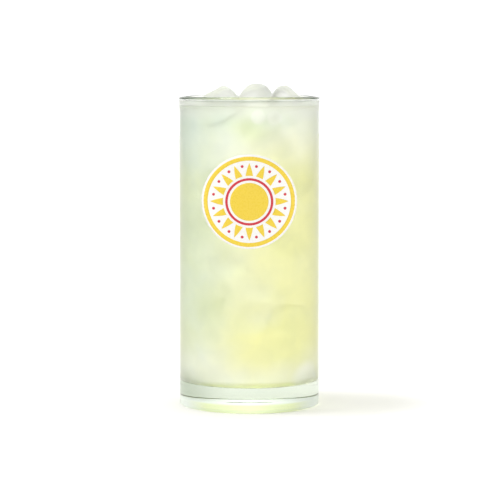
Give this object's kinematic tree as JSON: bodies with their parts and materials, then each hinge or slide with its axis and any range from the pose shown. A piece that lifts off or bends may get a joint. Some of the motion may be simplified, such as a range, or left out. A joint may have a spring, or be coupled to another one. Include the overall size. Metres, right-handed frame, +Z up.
{
  "type": "glass of lemonade",
  "caption": "Tall straight-sided clear glass with a heavy base, filled nearly to its rim with pale cloudy lemonade and floating ice.",
  "frame": {"origin": "middle of the underside, on the surface that the glass stands on", "axes": "+Z up along the glass's axis; -Y towards the side that the picture shows"},
  "size_m": [0.0706, 0.0706, 0.1605],
  "materials": {
    "clear_glass": "polished",
    "lemonade": "gloss",
    "ice": "gloss",
    "print_white": "gloss",
    "print_yellow": "gloss",
    "print_red": "gloss"
  },
  "bodies": {
    "root": {"tumbler": "clear_glass", "lemonade": "lemonade", "ice_left": "ice", "ice_middle": "ice", "ice_right": "ice", "ice_front": "ice", "ice_back_left": "ice", "ice_back_right": "ice"}
  },
  "joints": []
}
